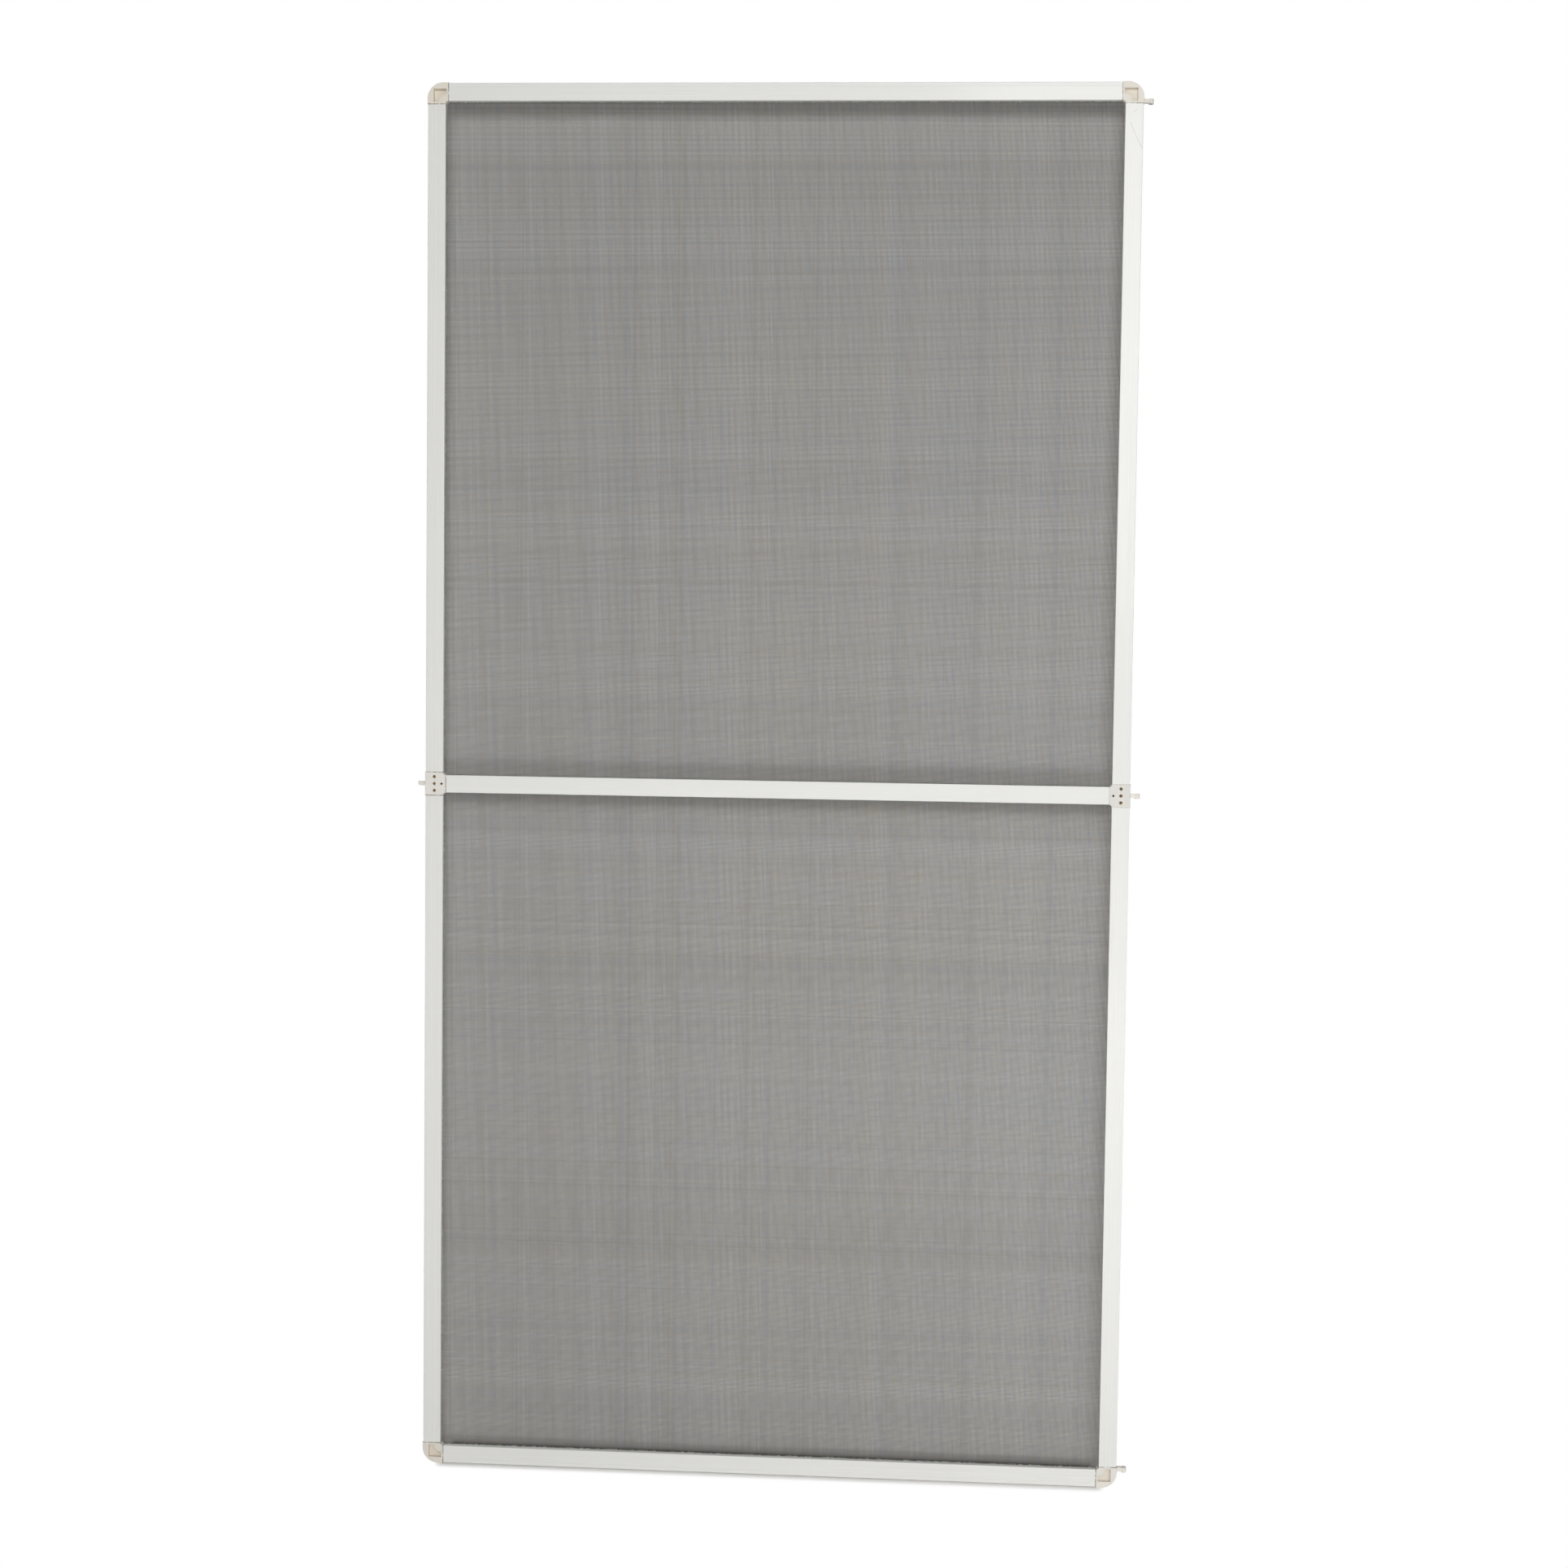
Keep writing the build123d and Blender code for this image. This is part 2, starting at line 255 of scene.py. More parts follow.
class FinishTree:
    """A material's or world's node tree, emptied and ready to be built up."""

    seam_core = 0.3
    seam_scale = 260.0
    seam_breaks = (0.25, 0.60)

    def __init__(self, owner: Union[bpy.types.Material, bpy.types.World]) -> None:
        """Empties the owner's tree."""
        owner.use_nodes = True
        self.tree = owner.node_tree
        self.tree.nodes.clear()

    def add(
        self,
        kind: str,
        settings: dict[str, Any] | None = None,
        sockets: dict[Union[str, int], Any] | None = None,
        output: Union[str, int] = 0,
    ) -> Wire:
        """Adds any node.

        Args:
            kind: the node's type.
            settings: its properties, set before its sockets.
            sockets: values or wires for its inputs, by name or number.
            output: which output to give back.

        Returns:
            The chosen output, or the first input where the node has no output.
        """
        node = self.tree.nodes.new(kind)
        for name, value in (settings or {}).items():
            setattr(node, name, value)
        for key, value in (sockets or {}).items():
            if isinstance(value, Wire):
                self.tree.links.new(value.socket, node.inputs[key])
            else:
                node.inputs[key].default_value = value
        return Wire(self, node.outputs[output] if node.outputs else node.inputs[0])

    def place(self) -> Wire:
        """Object coordinates, in metres."""
        return self.add("ShaderNodeTexCoord", output="Object")

    def axes(self, vector: Wire) -> tuple[Wire, Wire, Wire]:
        """The three parts of a vector."""
        node = self.add("ShaderNodeSeparateXYZ", None, {0: vector}).socket.node
        return tuple(Wire(self, socket) for socket in node.outputs)

    def stretch(self, vector: Wire, by: Colour) -> Wire:
        """A vector with each part multiplied by its own number."""
        return self.add("ShaderNodeVectorMath", {"operation": "MULTIPLY"}, {0: vector, 1: by})

    def distance(self, place: Wire, x: float, z: float) -> Wire:
        """Distance from a line that runs from front to back.

        Args:
            place: Object coordinates.
            x: the line's place along X.
            z: the line's place along Z.

        Returns:
            The root of the two squares added.
        """
        across, _, up = self.axes(place)
        return ((across - x) * (across - x) + (up - z) * (up - z)).root()

    def noise(self, vector: Wire, scale: float, detail: float = 2.0, rough: float = 0.5) -> Wire:
        """Cloud noise from 0 to 1.

        Args:
            vector: where it is read.
            scale: how fine it is.
            detail: how many finer layers it has.
            rough: how strong the finer layers are.

        Returns:
            The noise's value.
        """
        sockets = {"Vector": vector, "Scale": scale, "Detail": detail, "Roughness": rough}
        return self.add("ShaderNodeTexNoise", None, sockets, "Fac")

    def about(self, level: Operand, *noises: tuple[Wire, float]) -> Wire:
        """A level that noises raise and lower: level + the sum of weight (noise - its middle).

        Args:
            level: a number or a wire.
            noises: each noise and its weight.

        Returns:
            The varied level.
        """
        varied = level
        for noise, weight in noises:
            varied = (noise - MIDDLE) * weight + varied
        return varied

    def blend(self, share: Operand, first: Any, second: Any) -> Wire:
        """A colour between two colours.

        Args:
            share: 0 for the first, 1 for the second.
            first: a colour or a wire.
            second: a colour or a wire.

        Returns:
            The mixed colour.
        """
        colours = [c if isinstance(c, Wire) else (*c, 1.0) for c in (first, second)]
        sockets = {0: share, 6: colours[0], 7: colours[1]}
        return self.add("ShaderNodeMix", {"data_type": "RGBA"}, sockets, 2)

    def seams(self, place: Wire, planes: tuple[Seam, ...], width: float) -> Wire:
        """Broken dark lines along planes: dirt where two pieces meet, and painted shade along the cloth's
        edge.

        Args:
            place: Object coordinates.
            planes: each plane's axis (0 to 2) and place along it.
            width: how far the dirt reaches from the plane.

        Returns:
            How dark the line is, 0 to 1.
        """
        parts = self.axes(place)
        dirt = most([abs(parts[axis] - at).rise(width, width * self.seam_core) for axis, at in planes])
        return dirt * self.noise(place, self.seam_scale).rise(*self.seam_breaks)

    def dents(self, height: Wire, depth: float) -> Wire:
        """A normal bumped by a relief from 0 to 1 that is so many metres deep."""
        return self.add("ShaderNodeBump", None, {"Strength": 1.0, "Distance": depth, "Height": height})

    def ray(self, kind: str) -> Wire:
        """1 for the rays of one kind, such as Camera."""
        return self.add("ShaderNodeLightPath", output=f"Is {kind} Ray")

    def seen(self) -> Wire:
        """1 for the rays that show a surface: straight, mirrored or through glass."""
        return most([self.ray(kind) for kind in ("Camera", "Glossy", "Transmission")])

    def matt(self, colour: Colour) -> Wire:
        """A plain diffuse shader."""
        return self.add("ShaderNodeBsdfDiffuse", None, {"Color": (*colour, 1.0)})

    def mix(self, share: Operand, first: Wire, second: Wire) -> Wire:
        """A shader between two shaders: 0 gives the first, 1 the second."""
        return self.add("ShaderNodeMixShader", None, {0: share, 1: first, 2: second})

    def surface(self, **sockets: Any) -> None:
        """Ends the tree in a Principled shader; an underscore in a socket's name stands for a space."""
        named = {name.replace("_", " "): value for name, value in sockets.items()}
        self.close(self.add("ShaderNodeBsdfPrincipled", None, named))

    def close(self, shader: Wire) -> None:
        """Ends a material's tree in a shader."""
        self.add("ShaderNodeOutputMaterial", None, {"Surface": shader})


# Finishes.


class Finish:
    """What a surface is made of; each finish lays its own nodes."""

    def lay(self, tree: FinishTree) -> None:
        """Builds the finish in an empty tree."""
        raise NotImplementedError

    def material(self, name: str) -> bpy.types.Material:
        """The finish as a material.

        Args:
            name: the material's name.

        Returns:
            The material.
        """
        made = bpy.data.materials.new(name)
        self.lay(FinishTree(made))
        return made


@dataclass(frozen=True)
class PowderCoat(Finish):
    """White satin coat on a drawn aluminium profile, with faint die lines along its length."""

    run: Run
    ends: tuple[Seam, ...] = ()
    inner: tuple[Seam, ...] = ()
    scuffed: bool = False
    base: Colour = (0.80, 0.80, 0.775)
    worn: Colour = (0.70, 0.695, 0.66)
    specked: Colour = (0.45, 0.43, 0.38)
    rubbed: Colour = (0.46, 0.45, 0.43)
    dirt: Colour = (0.22, 0.20, 0.16)
    # Painted shade along the cloth's edge, on the profiles' inner sides.
    edge_shade: Colour = (0.05, 0.05, 0.043)
    dullness: float = 0.12
    roughness: float = 0.22
    line_scales: tuple[float, float] = (1.5, 900.0)
    band_scales: tuple[float, float] = (0.9, 240.0)
    cloud_scale: float = 7.0
    speck_scale: float = 420.0
    peel_scale: float = 1500.0
    rub_scale: float = 900.0
    relief: float = 0.03 * MM
    end_width: float = 1.1 * MM
    inner_width: float = 0.6 * MM
    inner_depths: tuple[float, float] = (-1.2 * MM, 1.2 * MM)
    rubs: tuple[Rub, ...] = (
        Rub(0.6703, 1.9838, 0.2015, 1.8794, 1.9191),
        Rub(0.4690, 1.9570, 0.0305, 1.9300, 1.9362),
    )
    rub_width: tuple[float, float] = (0.9 * MM, 0.2 * MM)
    rub_ends: tuple[float, float] = (1.0 * MM, 3.0 * MM)

    def scuffs(self, tree: FinishTree, place: Wire) -> Wire:
        """Thin curved rub marks under the upper right corner: distance from a circle, between two heights.

        Args:
            tree: the finish's tree.
            place: Object coordinates.

        Returns:
            How much of the surface is rubbed, 0 to 1.
        """
        z = tree.axes(place)[2]
        before, after = self.rub_ends
        marks = []
        for rub in self.rubs:
            away = abs(tree.distance(place, rub.x, rub.z) - rub.radius)
            span = z.rise(rub.low - before, rub.low + after) * z.rise(rub.high + before, rub.high - after)
            marks.append(away.rise(*self.rub_width) * span)
        return most(marks) * tree.noise(place, self.rub_scale).rise(0.3, 0.6)

    def drawn(self, tree: FinishTree, place: Wire, scales: tuple[float, float], detail: float) -> Wire:
        """Noise drawn out along the profile.

        Args:
            tree: the finish's tree.
            place: Object coordinates.
            scales: how fine it is along the profile and across it.
            detail: how many finer layers it has.

        Returns:
            The noise's value.
        """
        along, across = scales
        by = tuple(along if axis == self.run.value else across for axis in range(3))
        return tree.noise(tree.stretch(place, by), 1.0, detail, 0.6)

    def lay(self, tree: FinishTree) -> None:
        """Builds the coat.

        Args:
            tree: the finish's tree.
        """
        place = tree.place()
        lines = self.drawn(tree, place, self.line_scales, 3.0)
        bands = self.drawn(tree, place, self.band_scales, 2.0)
        cloud = tree.noise(place, self.cloud_scale, 3.0)
        specks = tree.noise(place, self.speck_scale, 1.0).rise(0.74, 0.80) * cloud.rise(0.45, 0.65)
        peel = tree.noise(place, self.peel_scale, 1.0)
        dull = tree.about(self.dullness, (cloud, 0.35), (lines, 0.30), (bands, 0.50)).clamped()
        colour = tree.blend(dull, self.base, self.worn)
        colour = tree.blend(specks * 0.22, colour, self.specked)
        if self.scuffed:
            colour = tree.blend(self.scuffs(tree, place) * 0.70, colour, self.rubbed)
        if self.ends:
            colour = tree.blend(tree.seams(place, self.ends, self.end_width) * 0.90, colour, self.dirt)
        # Painted shade: a near-black line on the sides that face the cloth, darkest towards the back,
        # standing for the shadow in the gap at the cloth's edge.
        if self.inner:
            close = tree.axes(place)[1].rise(*self.inner_depths)
            dirt_and_shade = tree.seams(place, self.inner, self.inner_width) * close * 0.90
            colour = tree.blend(dirt_and_shade, colour, self.edge_shade)
        tree.surface(
            Base_Color=colour,
            Roughness=tree.about(self.roughness, (cloud, 0.10), (lines, 0.15), (bands, 0.60)),
            Normal=tree.dents(peel * 0.6 + lines * 0.4, self.relief),
            Specular_IOR_Level=0.5,
        )


@dataclass(frozen=True)
class IvoryMoulding(Finish):
    """Ivory moulded plastic, a little yellowed, browner where light hardly reaches."""

    wear_and_light: WearAndLight
    ends: tuple[Seam, ...]
    hollow: Hollow | None = None
    holes: tuple[Hole, ...] = ()
    pit: Hole | None = None
    fresh: Colour = (0.77, 0.757, 0.722)
    aged: Colour = (0.795, 0.735, 0.635)
    shade: Colour = (0.60, 0.46, 0.27)
    dirt: Colour = (0.24, 0.20, 0.14)
    # Painted shade of the neck hole.
    pit_shade: Colour = (0.030, 0.024, 0.016)
    roughness: float = 0.52
    cloud_scale: float = 55.0
    flow_scale: float = 160.0
    grain_scale: float = 2600.0
    relief: float = 0.04 * MM
    end_width: float = 0.9 * MM
    front: float = -5.5 * MM
    floor: float = 5.6 * MM
    lip: float = 0.3 * MM
    recess_depth: float = 1.4 * MM
    bore_depth: float = 3.0 * MM
    pit_depth: float = 0.6 * MM
    floor_shade: float = 0.18
    wall_shade: float = 0.12

    def depth(self, tree: FinishTree, place: Wire, start: float, end: float) -> Wire:
        """A smooth step from 0 to 1 between two depths behind the front face."""
        return tree.axes(place)[1].rise(self.front + start, self.front + end)

    def sunken(self, tree: FinishTree, place: Wire, hollow: Hollow) -> Wire:
        """How much painted shade the surface gets inside a recess, its walls more than its floor.

        Args:
            tree: the finish's tree.
            place: Object coordinates.
            hollow: the recess.

        Returns:
            0 on the faces, and the share of the painted shade inside.
        """
        x, _, z = tree.axes(place)
        inside = self.depth(tree, place, self.lip, self.recess_depth)
        for part, low, high in ((x, hollow.low_x, hollow.high_x), (z, hollow.low_z, hollow.high_z)):
            half = (high - low) / 2
            inside = inside * abs(part - (low + high) / 2).rise(half + 0.2 * MM, half - 0.1 * MM)
        wall = self.depth(tree, place, self.floor, self.floor - 0.4 * MM)
        return inside * (wall * self.wall_shade + self.floor_shade)

    def disc(self, tree: FinishTree, place: Wire, hole: Hole) -> Wire:
        """1 within a hole's outline and 0 outside."""
        return tree.distance(place, hole.x, hole.z).rise(hole.radius + 0.3 * MM, hole.radius + 0.1 * MM)

    def lay(self, tree: FinishTree) -> None:
        """Builds the plastic.

        Args:
            tree: the finish's tree.
        """
        place = tree.place()
        cloud = tree.noise(place, self.cloud_scale, 3.0)
        grain = tree.noise(place, self.grain_scale)
        flow = tree.noise(place, self.flow_scale)
        age = tree.about(self.wear_and_light.yellowing, (cloud, 0.5), (flow, 0.25)).clamped()
        # Painted light: each piece's ivory is made lighter or darker for how much light falls on it.
        bright = self.wear_and_light.bright
        fresh, aged = (tuple(bright * part for part in shade) for shade in (self.fresh, self.aged))
        colour = tree.blend(age, fresh, aged)
        if self.hollow:
            colour = tree.blend(self.sunken(tree, place, self.hollow), colour, self.shade)
        # Painted shade inside the handle holes.
        if self.holes:
            bored = most([self.disc(tree, place, hole) for hole in self.holes])
            bored = bored * self.depth(tree, place, self.lip, self.bore_depth)
            colour = tree.blend(bored, colour, self.shade)
        # Painted shade: the neck hole is painted near-black, standing for its dark depth.
        if self.pit:
            below = self.depth(tree, place, 0.0, self.pit_depth)
            colour = tree.blend(self.disc(tree, place, self.pit) * below, colour, self.pit_shade)
        if self.ends:
            dirt_and_shade = tree.seams(place, self.ends, self.end_width) * self.wear_and_light.grimy
            colour = tree.blend(dirt_and_shade, colour, self.dirt)
        tree.surface(
            Base_Color=colour,
            Roughness=tree.about(self.roughness, (cloud, 0.12), (grain, 0.10)),
            Normal=tree.dents(grain * 0.7 + flow * 0.3, self.relief),
            Specular_IOR_Level=0.35,
        )


@dataclass(frozen=True)
class CoatedThread(Finish):
    """Grey plastic-coated glass thread; each thread has its own tone, carried as an attribute, with painted
    shade along the profiles' inner sides.
    """

    edges: tuple[Seam, ...]
    cool: Colour = (0.095, 0.130, 0.185)
    warm: Colour = (0.213, 0.161, 0.080)
    # Painted shade along the cloth's edge.
    edge_shade: Colour = (0.030, 0.030, 0.027)
    roughness: float = 0.55
    dust_scale: float = 3.0
    speck_scale: float = 420.0
    edge_width: float = 2.6 * MM

    def lay(self, tree: FinishTree) -> None:
        """Builds the coat.

        Args:
            tree: the finish's tree.
        """
        tone = tree.add("ShaderNodeAttribute", {"attribute_name": THREAD_TONE}, None, "Fac")
        place = tree.place()
        dust = tree.noise(place, self.dust_scale, 3.0)
        speck = tree.noise(place, self.speck_scale, 1.0)
        colour = tree.blend(tree.about(tone, (dust, 0.4), (speck, 4.0)).clamped(), self.cool, self.warm)
        # Painted shade: threads near the profiles' inner sides are darkened, standing for the shadow at the
        # cloth's edge.
        colour = tree.blend(tree.seams(place, self.edges, self.edge_width) * 0.90, colour, self.edge_shade)
        tree.surface(
            Base_Color=colour,
            Roughness=tree.about(self.roughness, (dust, 0.2)),
            Specular_IOR_Level=0.4,
        )


@dataclass(frozen=True)
class VinylCord(Finish):
    """Dark matt vinyl of the spline, with a dusty bloom."""

    base: Colour = (0.045, 0.045, 0.047)
    bloom: Colour = (0.11, 0.108, 0.10)
    roughness: float = 0.62
    dust_scale: float = 220.0
    grain_scale: float = 1800.0
    relief: float = 0.04 * MM

    def lay(self, tree: FinishTree) -> None:
        """Builds the vinyl.

        Args:
            tree: the finish's tree.
        """
        place = tree.place()
        dust = tree.noise(place, self.dust_scale, 3.0)
        tree.surface(
            Base_Color=tree.blend(dust.rise(0.4, 0.8), self.base, self.bloom),
            Roughness=tree.about(self.roughness, (dust, 0.2)),
            Normal=tree.dents(tree.noise(place, self.grain_scale, 1.0), self.relief),
        )


@dataclass(frozen=True)
class StagePaint(Finish):
    """Matt pale paint that fades to plain white away from a box."""

    low: Vector
    high: Vector
    fade: float = 14.0 * MM
    paint: Colour = (0.93, 0.922, 0.90)

    def lit(self, tree: FinishTree) -> Wire:
        """The paint inside the box."""
        return tree.matt(self.paint)

    def faded(self, tree: FinishTree) -> Wire:
        """The paint, seen as plain white beyond the fade, which follows the distance from the box.

        Args:
            tree: the finish's tree.

        Returns:
            The shader.
        """
        squares = []
        for part, first, last in zip(tree.axes(tree.place()), self.low, self.high):
            out = (abs(part - (first + last) / 2) - (last - first) / 2).at_least(0.0)
            squares.append(out * out)
        away = (squares[0] + squares[1] + squares[2]).root().rise(0.0, self.fade)
        white = tree.add("ShaderNodeEmission", None, {"Color": WHITE, "Strength": 1.0})
        return tree.mix(away * tree.seen(), self.lit(tree), white)

    def lay(self, tree: FinishTree) -> None:
        """Builds the paint."""
        tree.close(self.faded(tree))


@dataclass(frozen=True)
class WallPaint(StagePaint):
    """The wall's paint: open from behind, with painted shade at its foot, and sending back less light than
    it shows.
    """

    foot: float = 18.0 * MM
    foot_core: float = 0.3
    foot_insets: tuple[float, float] = (12.0 * MM, 22.0 * MM)
    foot_shade: Colour = (0.03, 0.03, 0.028)
    sent_back: float = 0.4

    def lit(self, tree: FinishTree) -> Wire:
        """The paint inside the box, with painted shade at its foot.

        Args:
            tree: the finish's tree.

        Returns:
            The shader.
        """
        x, _, z = tree.axes(tree.place())
        dull = tree.matt(tuple(self.sent_back * part for part in self.paint))
        lit = tree.mix(tree.seen(), dull, tree.matt(self.paint))
        half = (self.high.x - self.low.x) / 2
        outer, inner = (half - inset for inset in self.foot_insets)
        within = abs(x - (self.low.x + self.high.x) / 2).rise(outer, inner)
        # Painted shade: the wall's foot behind the leaf is painted near-black, standing for the shadow
        # behind the bottom rail.
        foot = z.rise(self.foot, self.foot * self.foot_core) * within
        return tree.mix(foot, lit, tree.matt(self.foot_shade))

    def lay(self, tree: FinishTree) -> None:
        """Builds the paint, clear from behind and to the lamps' rays.

        Args:
            tree: the finish's tree.
        """
        behind = tree.add("ShaderNodeNewGeometry", None, None, "Backfacing")
        clear = tree.add("ShaderNodeBsdfTransparent")
        tree.close(tree.mix(behind.at_least(tree.ray("Shadow")), self.faded(tree), clear))


# Meshes from whole arrays.


def new_piece(
    name: str, points: np.ndarray, faces: np.ndarray, uv: np.ndarray | None = None
) -> bpy.types.Object:
    """Makes an object at the origin from arrays.

    Args:
        name: the piece's name.
        points: vertices, one row each.
        faces: four vertex numbers a face.
        uv: two numbers for each corner of each face, in order.

    Returns:
        The linked object, smooth shaded.
    """
    mesh = bpy.data.meshes.new(name)
    mesh.vertices.add(len(points))
    mesh.vertices.foreach_set("co", points.astype(np.float32).ravel())
    mesh.loops.add(faces.size)
    mesh.loops.foreach_set("vertex_index", faces.astype(np.int32).ravel())
    mesh.polygons.add(len(faces))
    mesh.polygons.foreach_set("loop_start", np.arange(0, faces.size, 4, dtype=np.int32))
    mesh.polygons.foreach_set("use_smooth", np.ones(len(faces), bool))
    if uv is not None:
        mesh.uv_layers.new(name="OFBake").uv.foreach_set("vector", uv.astype(np.float32).ravel())
    mesh.update(calc_edges=True)
    made = bpy.data.objects.new(name, mesh)
    bpy.context.scene.collection.objects.link(made)
    return made


def paint(piece: bpy.types.Object, material: bpy.types.Material) -> None:
    """Puts one material on a whole piece.

    Args:
        piece: the piece.
        material: what it gets.
    """
    slots = piece.data.materials
    if len(slots):
        for number in range(len(slots)):
            slots[number] = material
    else:
        slots.append(material)


def drifting(rng: np.random.Generator, count: int, drift: Drift) -> np.ndarray:
    """Random numbers about zero that change slowly: white noise averaged under a raised cosine.

    Args:
        rng: the seeded source.
        count: how many numbers.
        drift: their spread, and how many neighbours share a change.

    Returns:
        The numbers.
    """
    window = np.hanning(2 * drift.reach + 1)
    window /= np.sqrt((window**2).sum())
    return drift.amount * np.convolve(rng.normal(size=count + 2 * drift.reach), window, mode="valid")


# The leaf's sub-assemblies.


def meeting(connector: str, bar: str) -> tuple[Seam, ...]:
    """The ends of a profile that butt against a connector.

    Args:
        connector: the connector's node.
        bar: the profile's node.

    Returns:
        One seam for each such end.
    """
    axis, across = BARS[bar].value, BARS[bar].across
    low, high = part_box(connector)
    bar_low, bar_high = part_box(bar)
    if bar_low[across] >= high[across] or bar_high[across] <= low[across]:
        return ()
    return tuple((axis, end) for end in (bar_low[axis], bar_high[axis]) if low[axis] < end < high[axis])


@dataclass
class BarFrame:
    """The seven white profiles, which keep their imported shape."""

    nodes: dict[str, bpy.types.Object]
    scuffed: str = "right_stile_upper"
    cloth: str = "insect_mesh"
    clean: str = "tee_right"

    def inner(self, name: str) -> tuple[Seam, ...]:
        """A profile's sides that face the cloth, which are those within the cloth's outline.

        Args:
            name: the profile's node.

        Returns:
            One seam for each such side.
        """
        across = BARS[name].across
        low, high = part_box(self.cloth)
        sides = [corner[across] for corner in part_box(name)]
        return tuple((across, side) for side in sides if low[across] < side < high[across])

    def ends(self, name: str) -> tuple[Seam, ...]:
        """A profile's ends, apart from those at the clean connector.

        Args:
            name: the profile's node.

        Returns:
            One seam for each end.
        """
        axis = BARS[name].value
        spared = meeting(self.clean, name)
        ends = [(axis, corner[axis]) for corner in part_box(name)]
        return tuple(end for end in ends if end not in spared)

    def dress(self) -> None:
        """Gives each profile its coat, drawn the way it runs, dirty at its ends and with painted shade
        beside the cloth.
        """
        for name, run in BARS.items():
            coat = PowderCoat(run, self.ends(name), self.inner(name), scuffed=name == self.scuffed)
            paint(self.nodes[name], coat.material(f"white_coat_{name}"))
            LOG.info("profile %s dressed", name)


@dataclass
class Mouldings:
    """Corner and T connectors, hinge arms and catch tongue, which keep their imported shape."""

    nodes: dict[str, bpy.types.Object]
    margin: float = 8.8 * MM
    end: float = 27.0 * MM
    hole_pitch: float = 9.8 * MM
    hole_radius: float = 2.3 * MM
    hole_inset: float = 13.3 * MM
    neck_inset: float = 23.8 * MM
    neck_radius: float = 1.6 * MM
    # The middle number is painted light: lighter or darker ivory for how much light falls on each piece.
    wear_and_light: dict[str, WearAndLight] = field(
        default_factory=lambda: {
            "corner_top_left": WearAndLight(0.75, 1.0, 0.85),
            "corner_top_right": WearAndLight(0.55, 1.04, 0.70),
            "corner_bottom_left": WearAndLight(0.58, 0.98, 1.0),
            "corner_bottom_right": WearAndLight(0.25, 0.97, 1.0),
            "tee_left": WearAndLight(0.22, 1.0, 0.70),
            "tee_right": WearAndLight(0.12, 0.90, 0.30),
        }
    )
    lugs: tuple[str, ...] = ("hinge_arm_top", "hinge_arm_middle", "hinge_arm_bottom", "catch_tongue")
    lug_wear: WearAndLight = WearAndLight(0.4)

    def recess(self, name: str) -> Hollow:
        """A corner's recess, measured in from its outer sides.

        Args:
            name: the corner's node.

        Returns:
            The recess.
        """
        low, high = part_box(name)
        near, far = self.margin, self.end
        across = (low.x + near, low.x + far) if "left" in name else (high.x - far, high.x - near)
        along = (low.z + near, low.z + far) if "bottom" in name else (high.z - far, high.z - near)
        return Hollow(across[0], along[0], across[1], along[1])

    def joints(self, name: str) -> tuple[Seam, ...]:
        """The planes where profiles butt against a connector."""
        return tuple(seam for bar in BARS for seam in meeting(name, bar))

    def screw_holes(self, name: str) -> tuple[Hole, ...]:
        """A T connector's three handle holes and, last, its neck hole.

        Args:
            name: the connector's node.

        Returns:
            The four holes.
        """
        low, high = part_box(name)
        middle = (low.z + high.z) / 2
        edge, inward = (low.x, 1.0) if "left" in name else (high.x, -1.0)
        line = edge + inward * self.hole_inset
        handle = tuple(Hole(line, middle + step * self.hole_pitch, self.hole_radius) for step in (-1, 0, 1))
        return (*handle, Hole(edge + inward * self.neck_inset, middle, self.neck_radius))

    def dress(self) -> None:
        """Gives each moulding its own age of ivory and painted light, with painted shade in its recess or
        holes.
        """
        for name, wear_and_light in self.wear_and_light.items():
            if name.startswith("corner"):
                finish = IvoryMoulding(wear_and_light, self.joints(name), hollow=self.recess(name))
            else:
                *handle, neck = self.screw_holes(name)
                finish = IvoryMoulding(wear_and_light, self.joints(name), holes=tuple(handle), pit=neck)
            paint(self.nodes[name], finish.material(f"ivory_{name}"))
            LOG.info("connector %s dressed", name)
        seats = ((0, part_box("tee_left")[0].x), (0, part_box("tee_right")[1].x))
        plain = IvoryMoulding(self.lug_wear, seats).material("ivory_lugs")
        for name in self.lugs:
            paint(self.nodes[name], plain)
            LOG.info("lug %s dressed", name)


